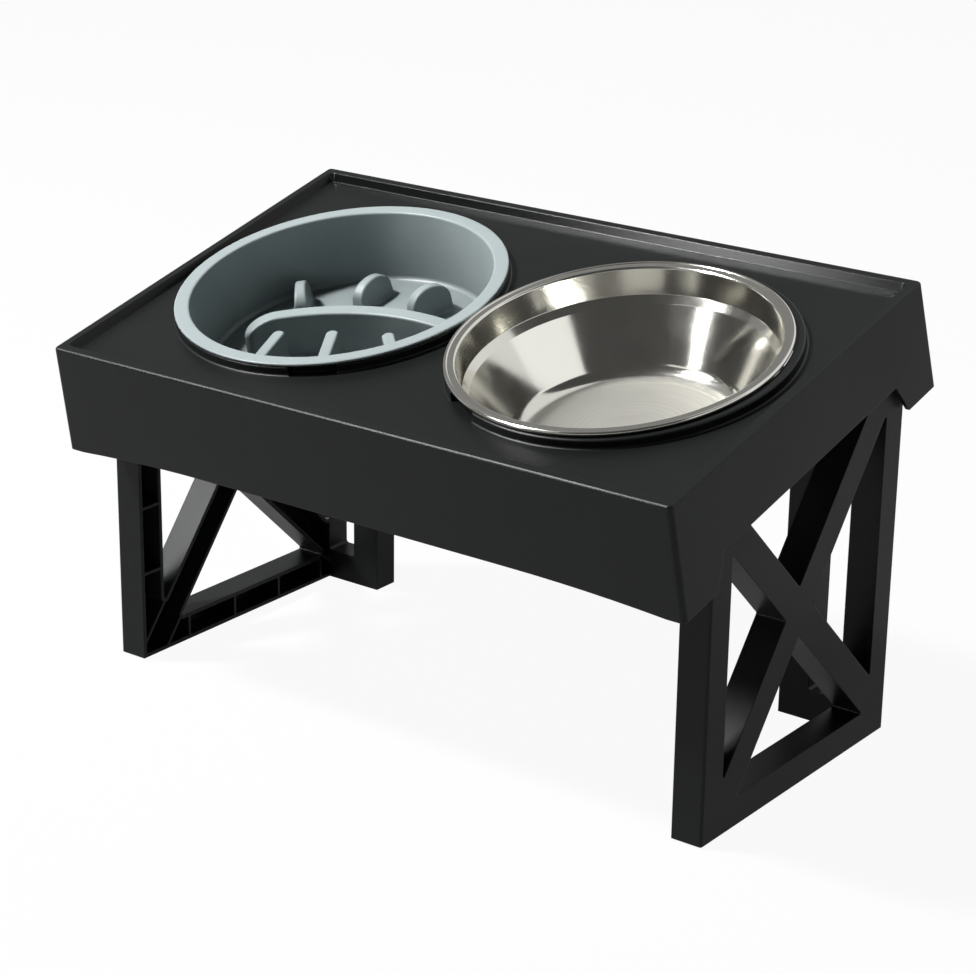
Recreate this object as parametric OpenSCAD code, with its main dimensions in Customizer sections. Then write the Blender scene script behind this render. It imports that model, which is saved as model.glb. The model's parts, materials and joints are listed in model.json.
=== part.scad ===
// Raised dog feeder stand: a tilted tray on two plug-in legs, with two lift-out bowls.
// Millimetres, +Z up, front towards -Y, standing on Z = 0.
// Inside tray_frame() the axes are X to the right, Y up the tray's slope, Z square to the tray.

/* [Tray] */
// Width of the tray at its rim
tray_width = 430; // [400:1:480]
// Depth of the tray along its slope
tray_depth = 259; // [240:1:320]
// Height of the skirt, square to the tray
skirt_height = 67.5; // [62:0.5:90]
// Outward slope of the skirt over its height
skirt_flare = 3; // [1:0.5:4]
// Thickness of the tray's walls
wall = 2.6; // [2:0.1:3.4]
// Round on the tray's upright corners
corner_radius = 3; // [2.5:0.5:10]
// Round on the tray's top outer edge
edge_round = 1.6; // [0.8:0.1:2.4]
// Width of the flat rim round the recess
rim_width = 6; // [5:0.5:12]
// Depth of the recess
recess_depth = 5; // [3:0.5:7]
// Lean of the recess walls over their depth
recess_lean = 2.5; // [0.5:0.5:4]
// Round in the corners of the recess, at its floor
recess_round = 1; // [0.5:0.5:6]
// Depth of the ring wall under each bowl hole
hole_lip = 6; // [3:0.5:10]
// Tilt of the tray towards the front, in degrees
tray_tilt = 14; // [8:0.5:17]
// Height of the tray's front edge above the floor
front_height = 208; // [180:1:260]

/* [Bowl seats] */
// Radial width of the raised collar round each hole
seat_wall = 5.5; // [4:0.5:8]
// Height of the collar above the tray's floor
seat_height = 5.5; // [4:0.5:8]
// Round on the collar's outer edge and at its foot
collar_round = 1.2; // [0.6:0.1:1.6]
// Gap between the rims of the two bowls
rim_gap = 1; // [0.6:0.2:6]
// Width of the finger notch in each collar
notch_width = 28; // [20:1:36]
// Angle of the finger notch from the front, towards the tray's middle
notch_angle = 29; // [20:1:40]
// Thickness of the ring left behind the finger notch
notch_wall = 1.6; // [1.2:0.1:2.4]
// Gap under a bowl's rim, above its collar
rest_gap = 0.15; // [0.1:0.05:0.4]

/* [Skirt cut-outs] */
// Length of each side cut-out along the skirt's lower edge
cutout_length = 203; // [150:1:210]
// Height of each side cut-out
cutout_height = 20; // [10:0.5:26]
// Lean of the cut-out's two ends
cutout_lean = 11.5; // [5:0.5:16]
// Height of the shallow relief in the front and back skirts' lower edges
relief_height = 4.3; // [2:0.1:8]
// Distance from the tray's sides to the relief
relief_margin = 8; // [6:1:40]
// Length of each curved end of the relief
relief_ramp = 100; // [60:1:130]

/* [Legs] */
// Thickness of a leg, from its outer to its inner face
leg_thickness = 19; // [17:0.5:24]
// How far a leg's inner face tucks under the edge of the bowl hole
leg_tuck = 1; // [0:0.5:2]
// Gap between a leg's outer face and the skirt, at the leg's shoulder
leg_side_gap = 0.8; // [0.5:0.1:2]
// Distance from the tray's front edge to the leg, along the slope
leg_front_margin = 39.5; // [30:0.5:50]
// Distance from the tray's back edge to the leg, along the slope
leg_back_margin = 18; // [12:0.5:30]
// Depth of the leg's shoulder below the tray's rim
shoulder_depth = 32; // [28:0.5:36]
// Width of the front post
front_post = 19; // [15:0.5:24]
// Width of the rear post
rear_post = 18; // [15:0.5:24]
// Height of the bottom rail
bottom_rail = 17.5; // [14:0.5:24]
// Height of the top rail, square to the tray
top_rail = 14; // [10:0.5:15]
// Width of the two braces
brace_width = 20; // [17:0.5:24]
// How far the rising brace starts below the top of the bottom rail
rising_brace_drop = 2; // [0:0.5:5]
// How far the falling brace ends above the top of the bottom rail
falling_brace_lift = 7.5; // [3:0.5:8]
// Round in the corners of the openings
opening_round = 1.2; // [0.8:0.2:4]
// Round on the front post's outer edge
post_round = 1.5; // [1:0.5:5.5]
// Thickness of a leg's walls
leg_wall = 2.4; // [2:0.1:3]
// Thickness of the ribs inside a leg
rib_wall = 1.8; // [1.4:0.1:2.4]
// Height of the lowest cross rib in a post, above the leg's foot
post_rib_height = 54; // [40:1:70]
// Distance between the ribs
rib_pitch = 42.5; // [36:0.5:70]

/* [Rear wings] */
// Reach of the wing, from the leg's outer face
wing_reach = 59.5; // [54:0.5:64]
// Width of the wing's inner post
wing_post = 19.5; // [14:0.5:22]
// Width of the slot in the wing
slot_width = 21; // [16:0.5:23]
// Height of the slot's lower end above the leg's foot
slot_floor = 19; // [16:0.5:40]
// Round in the slot's lower corners
slot_round = 2; // [1:0.5:7]

/* [Leg plugs] */
// Length of a side tongue along the slope
tongue_width = 24; // [16:1:30]
// Thickness of every tongue
tongue_thick = 9; // [7:0.5:9.5]
// Gap between a tongue's end and the tray
tongue_end_gap = 2; // [1:0.5:4]
// Gap between a tongue and its socket, on each side
socket_gap = 0.3; // [0.2:0.05:0.5]
// Thickness of the socket walls
socket_wall = 2; // [1.6:0.1:2.2]
// Distance from the leg's ends to the side tongues
tongue_margin = 9; // [7:0.5:14]

/* [Foot pads] */
// Diameter of a foot pad
pad_diameter = 13; // [9:0.5:14]
// Thickness of a foot pad
pad_thickness = 2; // [1.6:0.1:3]
// Depth of the pad's recess in the leg
pad_recess = 1; // [0.6:0.1:1.2]
// Gap round a pad in its recess
pad_gap = 0.2; // [0.1:0.05:0.4]

/* [Slow feeder bowl] */
// How far the feeder's rim reaches past the hole
feeder_overlap = 5.5; // [4:0.5:8]
// Gap between the feeder's body and the hole
feeder_gap = 1.6; // [0.6:0.1:2.4]
// Thickness of the feeder's walls
feeder_wall = 2; // [1.6:0.1:3]
// Depth of the feeder, from its rim to its floor
feeder_depth = 44; // [34:0.5:50]
// Inward slope of the feeder's wall over its depth
feeder_slope = 5; // [2:0.5:10]
// Round where the feeder's wall meets its floor
feeder_floor_round = 5; // [4:0.5:14]
// Height of the spine and the front ribs above the floor
ridge_height = 27; // [16:0.5:30]
// Thickness of the spine
spine_thick = 10; // [7:0.5:12]
// Radius of the spine's curve
spine_radius = 128; // [110:1:150]
// Length of the spine's rounded-off end
spine_end_run = 21; // [12:1:30]
// How far the spine's top drops at its end
spine_end_drop = 9; // [4:0.5:12]
// Thickness of the front ribs
rib_thick = 7.5; // [5:0.5:9]
// Height of the left fin above the floor
left_fin_height = 18; // [12:0.5:24]
// Height of the middle fin above the floor
middle_fin_height = 16; // [12:0.5:24]
// Height of the right fin above the floor
right_fin_height = 19.5; // [12:0.5:24]
// Thickness of the fins at the floor
fin_thick = 11; // [9:0.5:13]
// Thickness of the fins at their top
fin_top_thick = 6.6; // [4:0.2:8]
// Length of the fins
fin_length = 28; // [20:0.5:30]
// Direction of the left fin in plan, in degrees
left_fin_turn = 127; // [118:1:136]
// Direction of the middle fin in plan, in degrees
middle_fin_turn = 88; // [78:1:98]
// Direction of the right fin in plan, in degrees
right_fin_turn = 72; // [62:1:82]
// Direction of the left rib in plan, in degrees
left_rib_turn = -74; // [-84:1:-64]
// Direction of the middle rib in plan, in degrees
middle_rib_turn = -61; // [-70:1:-50]
// Direction of the right rib in plan, in degrees
right_rib_turn = -45; // [-55:1:-35]

/* [Steel bowl] */
// How far the steel bowl's rim reaches past the hole
steel_overlap = 3; // [2.5:0.25:6]
// Gap between the steel bowl's body and the hole
steel_gap = 2.4; // [1:0.1:2.4]
// Share of its play by which the bowl sits aside in its hole
steel_aside = 0.9; // [0:0.05:0.9]
// Way in which it sits aside, turned from the tray's right end
steel_aside_turn = 203; // [180:1:225]
// Thickness of the steel
steel_wall = 0.8; // [0.6:0.1:1.2]
// Radius of the rolled edge
bead_radius = 1.4; // [1:0.1:1.8]
// How far the rolled edge stands above the flange
bead_rise = 0.5; // [0.3:0.1:0.8]
// Width of the flange inside the rolled edge
flange_width = 4.8; // [3:0.2:6]
// Depth of the steel bowl, from its rim to its floor
steel_depth = 58; // [45:0.5:58]
// Depth of the step in the wall, below the rim
step_depth = 20; // [12:0.5:24]
// Height of the step
step_height = 4.5; // [3:0.5:8]
// Inward run of the step
step_run = 3.6; // [1:0.2:5]
// Inward slope of the wall above the step
upper_slope = 1.6; // [1:0.2:4]
// Inward slope of the wall below the step
lower_slope = 21; // [8:0.5:24]
// Round where the steel wall meets the floor
steel_floor_round = 9.5; // [8:0.5:20]

/* [Hidden] */
$fn = 96;
corner_facets = 40;
arc_steps = 6;
far = 1000;

// The legs stand against the tray's sides, and each bowl hole fills the space from its leg to the
// middle of the tray, less the room for the rims
tray_half = tray_width / 2;
flare_at_shoulder = skirt_flare * shoulder_depth / skirt_height;
leg_outer_x = tray_half + flare_at_shoulder - wall - leg_side_gap;
leg_inner_x = leg_outer_x - leg_thickness;
rim_room = max(feeder_overlap, seat_wall) + rim_gap / 2;
seat_bore = leg_inner_x + leg_tuck - rim_room;

// Bowl places
seat_r = seat_bore / 2;
collar_r = seat_r + seat_wall;
feeder_r = seat_r + feeder_overlap;
bowl_x = seat_r + rim_room;
seat_v = tray_depth / 2;
seat_top = seat_height - recess_depth;
ceiling = -(recess_depth + wall);

// Plan extents of the tilted tray, used to centre the model
front_y = edge_round * (cos(tray_tilt) + sin(tray_tilt) - 1);
back_y = (tray_depth + skirt_flare) * cos(tray_tilt) + skirt_height * sin(tray_tilt);
middle_y = (front_y + back_y) / 2;

// Round inside the tray's upright corners, which follows the outer one
inner_corner = max(corner_radius - wall, 0.5);
skirt_land = 0.5;

// Leg outline in the side view, as [distance from the tray's front edge, height]
leg_base = pad_thickness - pad_recess;
function slope_y(v, w) = v * cos(tray_tilt) - w * sin(tray_tilt);
function slope_z(y, w) = front_height + y * tan(tray_tilt) + w / cos(tray_tilt);
leg_front_y = slope_y(leg_front_margin, -shoulder_depth);
leg_back_y = slope_y(tray_depth - leg_back_margin, -shoulder_depth);
post_in_y = leg_front_y + front_post;
rear_in_y = leg_back_y - rear_post;
rail_z = leg_base + bottom_rail;
under_rail = -(shoulder_depth + top_rail);

// Wing places, measured inwards from the leg's outer face
slot_outer = wing_reach - wing_post - slot_width;

// Plug places along the slope
front_tongue_v = leg_front_margin + tongue_margin;
rear_tongue_v = tray_depth - leg_back_margin - tongue_margin - tongue_width;
wing_tongue_v = tray_depth - leg_back_margin - (rear_post / cos(tray_tilt) + tongue_thick) / 2;
tongue_length = shoulder_depth + ceiling - tongue_end_gap;

// Feeder heights, square to the tray
feeder_rim_top = seat_top + rest_gap + feeder_wall;
feeder_floor = feeder_rim_top - feeder_depth;
feeder_body_r = seat_r - feeder_gap;

// Steel bowl heights, square to the tray
steel_r = seat_r + steel_overlap;
steel_rim_top = seat_top + rest_gap + 2 * bead_radius;
steel_body_r = min(seat_r - steel_gap, steel_r - bead_radius - flange_width);
steel_room = min(seat_r - steel_body_r, steel_overlap, 2 * bowl_x - steel_r - feeder_r);
steel_shift = steel_aside * steel_room * [cos(steel_aside_turn), sin(steel_aside_turn), 0];

function unit(a) = a / norm(a);
function left_of(a) = [-a[1], a[0]];
function cross2(a, b) = a[0] * b[1] - a[1] * b[0];

// Where two lines meet, each given as [point, direction]
function meet(a, b) = a[0] + a[1] * cross2(b[0] - a[0], b[1]) / cross2(a[1], b[1]);

// A line moved sideways, to its left when d is positive
function aside(a, d) = [a[0] + left_of(unit(a[1])) * d, a[1]];

// Points of the arc that rounds the corner b of a counter-clockwise outline
function corner_arc(a, b, c, r) =
    let (
        u = unit(a - b),
        v = unit(c - b),
        half = acos(u * v) / 2,
        centre = b + unit(u + v) * r / sin(half),
        from = b + u * r / tan(half) - centre,
        start = atan2(from[1], from[0]),
        sweep = 2 * (90 - half)
    )
    [
        for (i = [0 : arc_steps])
            let (turn = start + sweep * i / arc_steps)
                centre + r * [cos(turn), sin(turn)]
    ];

// A convex counter-clockwise outline with every corner rounded
function rounded(p, r) =
    [for (i = [0 : len(p) - 1])
        each corner_arc(p[(i + len(p) - 1) % len(p)], p[i], p[(i + 1) % len(p)], r)];

// A convex counter-clockwise outline grown outwards by d
function grown(p, d) =
    let (
        n = len(p),
        edges = [for (i = [0 : n - 1]) aside([p[i], p[(i + 1) % n] - p[i]], -d)]
    )
    [for (i = [0 : n - 1]) meet(edges[(i + n - 1) % n], edges[i])];

// An open line thickened by t to its left, with joined corners
function thickened(p, t) =
    let (
        n = len(p),
        edges = [for (i = [0 : n - 2]) aside([p[i], p[i + 1] - p[i]], t)],
        inner = [for (i = [1 : n - 2]) meet(edges[i - 1], edges[i])],
        first = edges[0][0],
        last = edges[n - 2][0] + edges[n - 2][1]
    )
    concat(p, [last], [for (i = [n - 3 : -1 : 0]) inner[i]], [first]);

// Points of an arc in the plane, from angle a to angle b
function arc(centre, r, a, b, steps) =
    oval_arc(centre, r, r, a, b, steps);

// Points of an oval's arc, whose half width and half height are given
function oval_arc(centre, across, up, a, b, steps) =
    [for (i = [0 : steps])
        let (t = a + (b - a) * i / steps)
        centre + [across * cos(t), up * sin(t)]];

// Lines of the leg's side view
front_in_line = [[post_in_y, 0], [0, 1]];
rear_in_line = [[rear_in_y, 0], [0, 1]];
rail_line = [[0, rail_z], [1, 0]];
top_line = [[0, slope_z(0, under_rail)], [cos(tray_tilt), sin(tray_tilt)]];
rising_from = [post_in_y, rail_z - rising_brace_drop];
rising_to = meet(top_line, rear_in_line);
falling_from = meet(top_line, front_in_line);
falling_to = [rear_in_y, rail_z + falling_brace_lift];
rising = [rising_from, rising_to - rising_from];
falling = [falling_from, falling_to - falling_from];
rising_upper = aside(rising, brace_width / 2);
rising_lower = aside(rising, -brace_width / 2);
falling_upper = aside(falling, brace_width / 2);
falling_lower = aside(falling, -brace_width / 2);

leg_openings = [
    [
        meet(front_in_line, rising_upper),
        meet(rising_upper, falling_lower),
        meet(falling_lower, front_in_line)
    ],
    [
        meet(rail_line, rising_lower),
        meet(rail_line, falling_lower),
        meet(rising_lower, falling_lower)
    ],
    [
        meet(rear_in_line, falling_upper),
        meet(rear_in_line, rising_lower),
        meet(rising_lower, falling_upper)
    ],
    [
        meet(rising_upper, falling_upper),
        meet(top_line, rising_upper),
        meet(top_line, falling_upper)
    ]
];

// Places something in the tilted tray's own axes
module tray_frame() {
    translate([0, -middle_y, front_height])
        rotate([tray_tilt, 0, 0])
            children();
}

// Places something on a bowl's axis, level with the tray's rim
module bowl_frame(side) {
    tray_frame()
        translate([side * bowl_x, seat_v, 0])
            children();
}

// Everything above the plane that lies w from the tray's rim
module above_plane(w) {
    tray_frame()
        translate([-far / 2, -far / 2, w])
            cube(far);
}

// One slice of a rounded box in the tray, as short posts in its four corners
module corner_slices(inset, low, high, low_r, high_r) {
    for (x = [-1, 1] * (tray_half - inset))
        for (v = [inset, tray_depth - inset])
            translate([x, v, low])
                cylinder(h = high - low, r1 = low_r, r2 = high_r, $fn = corner_facets);
}

// Outer shape of the tray, with a rounded top edge and a short upright land at its foot
module tray_block() {
    hull() {
        corner_slices(corner_radius - skirt_flare, -skirt_height, -skirt_height + skirt_land,
            corner_radius, corner_radius);
        for (i = [0 : arc_steps - 1]) {
            a = 90 * i / arc_steps;
            b = 90 * (i + 1) / arc_steps;
            corner_slices(corner_radius, -edge_round * (1 - sin(a)), -edge_round * (1 - sin(b)),
                corner_radius - edge_round * (1 - cos(a)), corner_radius - edge_round * (1 - cos(b)));
        }
    }
}

// Hollow under the tray, down past the skirt's lower edge
module tray_hollow() {
    spread = skirt_flare / skirt_height;
    inset = wall + inner_corner;
    hull() {
        corner_slices(inset - skirt_flare, -skirt_height - 1, -skirt_height + skirt_land,
            inner_corner, inner_corner);
        corner_slices(inset + spread * ceiling, ceiling - skirt_land, ceiling, inner_corner, inner_corner);
    }
}

// Shallow recess inside the rim
module tray_recess() {
    above = 1;
    lean = recess_lean / recess_depth;
    hull()
        corner_slices(rim_width + recess_lean + recess_round, -recess_depth, above,
            recess_round, recess_round + recess_lean + lean * above);
}

// Section of a collar, as [radius, height above the rim]; its inner side is trimmed by the bowl hole
module collar_section() {
    foot = -recess_depth;
    inner_r = seat_r - seat_wall;
    polygon(concat(
        [[inner_r, foot - wall / 2], [collar_r + collar_round, foot - wall / 2]],
        arc([collar_r + collar_round, foot + collar_round], collar_round, -90, -180, arc_steps),
        arc([collar_r - collar_round, seat_top - collar_round], collar_round, 0, 90, arc_steps),
        [[inner_r, seat_top]]
    ));
}

// A collar with its finger notch, which is open down to the recess floor and leaves a ring behind it
module collar(side) {
    bowl_frame(side)
        difference() {
            rotate_extrude()
                collar_section();
            difference() {
                rotate([0, 0, -side * notch_angle])
                    translate([-notch_width / 2, -far, -far / 2])
                        cube([notch_width, far, far]);
                translate([0, 0, -far])
                    cylinder(h = 2 * far, r = seat_r + notch_wall);
            }
        }
}

// Ring wall under a bowl hole
module lip_ring(side) {
    bowl_frame(side)
        translate([0, 0, ceiling - hole_lip])
            cylinder(h = hole_lip + wall / 2, r = seat_r + wall);
}

// Hole for a bowl, through the tray and its collar
module bowl_hole(side) {
    bowl_frame(side)
        translate([0, 0, -far / 2])
            cylinder(h = far, r = seat_r);
}

// Outline of the cut-outs in the skirt's two sides, as [slope, height]
module cutout_outline() {
    top = cutout_height - skirt_height;
    foot = -skirt_height - 1;
    mid = tray_depth / 2;
    lean = cutout_lean / cutout_height;
    end = cutout_length / 2;
    polygon([
        [mid - end - lean, foot],
        [mid + end + lean, foot],
        [mid + end - cutout_lean, top],
        [mid - end + cutout_lean, top]
    ]);
}

// Outline of the relief in the front and back skirts, as [x, height], with ends that curve down
module relief_outline() {
    end = tray_half - relief_margin;
    foot = -skirt_height - 1;
    curve = [for (i = [0 : arc_steps])
        [end - relief_ramp * i / arc_steps,
            relief_height * (1 - pow(1 - i / arc_steps, 2)) - skirt_height]];
    polygon(concat(
        [[-end, foot], [end, foot]],
        curve,
        [for (i = [arc_steps : -1 : 0]) [-curve[i][0], curve[i][1]]]
    ));
}

module skirt_cutouts() {
    tray_frame() {
        translate([-far / 2, 0, 0])
            rotate([90, 0, 90])
                linear_extrude(far)
                    cutout_outline();
        translate([0, far, 0])
            rotate([90, 0, 0])
                linear_extrude(2 * far)
                    relief_outline();
    }
}

// Tongue boxes of one leg, in the tray's axes, grown by g on every side and lengthened upwards
module plug_boxes(side, g, low, high) {
    mid_x = (leg_inner_x + leg_outer_x) / 2;
    wing_x = leg_outer_x - wing_reach + wing_post / 2;
    boxes = [
        [mid_x, front_tongue_v, tongue_thick, tongue_width],
        [mid_x, rear_tongue_v, tongue_thick, tongue_width],
        [wing_x, wing_tongue_v - tongue_thick / 2, tongue_thick, tongue_thick]
    ];
    tray_frame()
        for (b = boxes)
            translate([side * b[0] - b[2] / 2 - g, b[1] - g, low])
                cube([b[2] + 2 * g, b[3] + 2 * g, high - low]);
}

module tray() {
    color("#2b2d2f")
        difference() {
            union() {
                tray_frame()
                    difference() {
                        tray_block();
                        tray_hollow();
                        tray_recess();
                    }
                for (side = [-1, 1]) {
                    collar(side);
                    lip_ring(side);
                    plug_boxes(side, socket_gap + socket_wall, -shoulder_depth, ceiling + wall / 2);
                }
            }
            for (side = [-1, 1]) {
                bowl_hole(side);
                plug_boxes(side, socket_gap, -shoulder_depth - 1, ceiling);
            }
            skirt_cutouts();
        }
}

// Side view of a leg without its openings
module leg_outline() {
    polygon([
        [leg_front_y, leg_base],
        [leg_back_y, leg_base],
        [leg_back_y, slope_z(leg_back_y, -shoulder_depth)],
        [leg_front_y, slope_z(leg_front_y, -shoulder_depth)]
    ]);
}

// A thin bar along a line of the side view
module rib_bar(line) {
    a = line[0] - unit(line[1]) * far;
    b = line[0] + unit(line[1]) * far;
    n = left_of(unit(line[1])) * rib_wall / 2;
    polygon([a - n, b - n, b + n, a + n]);
}

// Hollow of the leg's side frame, between its walls and ribs
module leg_pockets() {
    low = leg_base + leg_wall;
    top_w = -shoulder_depth - leg_wall;
    left = leg_front_y + leg_wall;
    right = rear_in_y;
    difference() {
        polygon([[left, low], [right, low], [right, slope_z(right, top_w)], [left, slope_z(left, top_w)]]);
        for (p = leg_openings)
            polygon(rounded(grown(p, leg_wall), opening_round + leg_wall));
        for (line = [rising_upper, rising_lower, falling_upper, falling_lower])
            rib_bar(line);
        for (z = [leg_base + post_rib_height : rib_pitch : slope_z(left, under_rail)])
            translate([left - 1, z])
                square([front_post, rib_wall]);
        for (y = [post_in_y + rib_pitch / 2 : rib_pitch : rear_in_y - rib_wall])
            translate([y, leg_base])
                square([rib_wall, bottom_rail]);
    }
}

// Rear view of the wing and the rear post, as [distance in from the outer face, height]
module slot_outline(extra) {
    low = leg_base + slot_floor - extra;
    left = slot_outer - extra;
    right = slot_outer + slot_width + extra;
    polygon(rounded([[left, low], [right, low], [right, far], [left, far]], slot_round + extra));
}

module wing_hollow_outline() {
    low = leg_base + leg_wall;
    difference() {
        translate([leg_wall, low])
            square([wing_reach - 2 * leg_wall, far]);
        slot_outline(leg_wall);
        for (z = [leg_base + post_rib_height : rib_pitch : front_height + tray_depth])
            translate([0, z])
                square([wing_reach, rib_wall]);
    }
}

// Runs a rear-view outline through y from low to high, on the right-hand leg
module through_wing(low, high) {
    translate([leg_outer_x, high, 0])
        mirror([1, 0, 0])
            rotate([90, 0, 0])
                linear_extrude(high - low)
                    children();
}

// Runs a side-view outline through x from low to high
module through_leg(low, high) {
    translate([low, 0, 0])
        rotate([90, 0, 90])
            linear_extrude(high - low)
                children();
}

// Middles of one leg's three pads in plan, on the right-hand leg
pad_places = [
    [(leg_inner_x + leg_outer_x) / 2, leg_front_y + front_post / 2],
    [(leg_inner_x + leg_outer_x) / 2, leg_back_y - rear_post / 2],
    [leg_outer_x - wing_reach + leg_thickness / 2, leg_back_y - rear_post / 2]
];

// The right-hand leg without its tongues
module leg_frame() {
    difference() {
        union() {
            through_leg(leg_inner_x, leg_outer_x)
                leg_outline();
            through_wing(rear_in_y, leg_back_y)
                translate([leg_thickness / 2, leg_base])
                    square([wing_reach - leg_thickness / 2, far / 2]);
        }
        through_leg(leg_inner_x - 1, leg_outer_x + 1)
            for (p = leg_openings)
                polygon(rounded(p, opening_round));
        through_leg(leg_inner_x - 1, leg_outer_x - leg_wall)
            leg_pockets();
        difference() {
            through_wing(rear_in_y + leg_wall, leg_back_y + 1)
                wing_hollow_outline();
            translate([0, middle_y, 0])
                above_plane(-shoulder_depth - leg_wall);
        }
        through_wing(rear_in_y - 1, leg_back_y + 1)
            slot_outline(0);
        translate([0, middle_y, 0])
            above_plane(-shoulder_depth);
        translate([leg_outer_x - post_round, leg_front_y + post_round, -1])
            linear_extrude(far)
                difference() {
                    translate([0, -2 * post_round])
                        square(2 * post_round);
                    circle(post_round);
                }
        for (p = pad_places)
            translate([p[0], p[1], -1])
                cylinder(h = pad_thickness + 1, d = pad_diameter + 2 * pad_gap);
    }
}

module right_leg() {
    color("#232527") {
        translate([0, -middle_y, 0])
            leg_frame();
        plug_boxes(1, 0, -shoulder_depth - leg_wall / 2, tongue_length - shoulder_depth);
    }
}

module left_leg() {
    mirror([1, 0, 0])
        right_leg();
}

module foot_pad(side, place) {
    color("#17181a")
        translate([side * place[0], place[1] - middle_y, 0])
            cylinder(h = pad_thickness, d = pad_diameter);
}

module left_front_foot_pad() { foot_pad(-1, pad_places[0]); }
module left_rear_foot_pad() { foot_pad(-1, pad_places[1]); }
module left_wing_foot_pad() { foot_pad(-1, pad_places[2]); }
module right_front_foot_pad() { foot_pad(1, pad_places[0]); }
module right_rear_foot_pad() { foot_pad(1, pad_places[1]); }
module right_wing_foot_pad() { foot_pad(1, pad_places[2]); }

// Outer face of the feeder below its rim, from the rim to the middle of the floor
feeder_foot_r = feeder_body_r - feeder_slope;
feeder_under = feeder_floor - feeder_wall;
feeder_lean = atan2(feeder_slope, feeder_rim_top - feeder_under);
feeder_face = concat(
    [[feeder_body_r, feeder_rim_top]],
    arc([feeder_foot_r - feeder_floor_round, feeder_under + feeder_floor_round],
        feeder_floor_round, -feeder_lean, -90, arc_steps + 2),
    [[0, feeder_under]]
);

// Solid of revolution that fills the feeder up to its rim
module feeder_fill() {
    rotate_extrude()
        polygon(concat(feeder_face, [[0, feeder_rim_top]]));
}

module feeder_shell() {
    rim_round = feeder_wall / 2;
    rotate_extrude() {
        intersection() {
            polygon(thickened(feeder_face, -feeder_wall));
            translate([0, feeder_under])
                square([feeder_r, feeder_rim_top - feeder_under]);
        }
        translate([feeder_body_r - feeder_wall, feeder_rim_top - feeder_wall])
            square([feeder_r - rim_round - feeder_body_r + feeder_wall, feeder_wall]);
        translate([feeder_r - rim_round, feeder_rim_top - rim_round])
            circle(rim_round);
    }
}

// Curved spine across the feeder's floor, in plan from the bowl's middle
spine_middle = [50, 7 - spine_radius];
spine_start = 74;
spine_end = 138;
spine_tip = spine_middle + spine_radius * [cos(spine_end), sin(spine_end)];
module spine_outline() {
    inner = spine_radius - spine_thick / 2;
    outer = spine_radius + spine_thick / 2;
    polygon(concat(
        arc(spine_middle, outer, spine_start, spine_end, 4 * arc_steps),
        arc(spine_middle, inner, spine_end, spine_start, 4 * arc_steps)
    ));
    translate(spine_tip)
        circle(d = spine_thick, $fn = 24);
}

// The spine up to its top, rounded off in the side view of its free end
module spine() {
    tip = spine_thick / 2;
    round_r = (spine_end_run * spine_end_run + spine_end_drop * spine_end_drop) / (2 * spine_end_drop);
    half_turn = asin(spine_end_run / round_r);
    difference() {
        translate([0, 0, -feeder_wall / 2])
            linear_extrude(ridge_height + feeder_wall / 2)
                spine_outline();
        translate(spine_tip)
            rotate([0, 0, spine_end + 90])
                rotate([90, 0, 0])
                    translate([tip - spine_end_run, ridge_height - round_r, -spine_thick])
                        linear_extrude(2 * spine_thick)
                            polygon(concat(
                                arc([0, 0], round_r, 90, 90 - half_turn, arc_steps + 2),
                                [[far, round_r - spine_end_drop], [far, round_r + far], [0, round_r + far]]
                            ));
    }
}

// Front ribs, each as [inner end, direction towards the wall]
front_ribs = [
    [[-17.4, -42.6], left_rib_turn],
    [[13.3, -29.7], middle_rib_turn],
    [[46.9, -18.9], right_rib_turn]
];
module rib_outline(place, direction) {
    translate(place)
        rotate(direction) {
            translate([0, -rib_thick / 2])
                square([feeder_r, rib_thick]);
            circle(d = rib_thick, $fn = 24);
        }
}

// Fins, each as [front end, direction, height]
fins = [
    [[-50.5, 14.5], left_fin_turn, left_fin_height],
    [[-26, 38.5], middle_fin_turn, middle_fin_height],
    [[16, 38], right_fin_turn, right_fin_height]
];

// Side view of a fin, as two oval quarters over a straight foot
module fin_side(height) {
    crest = fin_length * 0.5;
    front_drop = height * 0.57;
    back_drop = height * 0.55;
    turn = 90 / (arc_steps + 2);
    polygon(concat(
        [[0, -feeder_wall / 2], [fin_length, -feeder_wall / 2]],
        oval_arc([crest, height - back_drop], fin_length - crest, back_drop, 0, 90, arc_steps + 2),
        oval_arc([crest, height - front_drop], crest, front_drop, 90 + turn, 180, arc_steps + 1)
    ));
}

// End view of a fin, which narrows from the floor to its top
module fin_end(height) {
    lean = (fin_thick - fin_top_thick) / 2 / height;
    foot = fin_thick / 2 + lean * feeder_wall;
    head = fin_top_thick / 2 - lean;
    polygon([[-foot, -feeder_wall], [foot, -feeder_wall], [head, height + 1], [-head, height + 1]]);
}

module fin(place, direction, height) {
    translate([place[0], place[1], 0])
        rotate([0, 0, direction])
            intersection() {
                rotate([90, 0, 0])
                    translate([0, 0, -fin_thick])
                        linear_extrude(2 * fin_thick)
                            fin_side(height);
                translate([-1, 0, 0])
                    rotate([90, 0, 90])
                        linear_extrude(fin_length + 2)
                            fin_end(height);
            }
}

module slow_feeder_bowl() {
    color("#b4c1c3")
        bowl_frame(-1) {
            feeder_shell();
            intersection() {
                translate([0, 0, feeder_floor]) {
                    spine();
                    translate([0, 0, -feeder_wall / 2])
                        linear_extrude(ridge_height + feeder_wall / 2)
                            for (r = front_ribs)
                                rib_outline(r[0], r[1]);
                    for (f = fins)
                        fin(f[0], f[1], f[2]);
                }
                feeder_fill();
            }
        }
}

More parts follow.
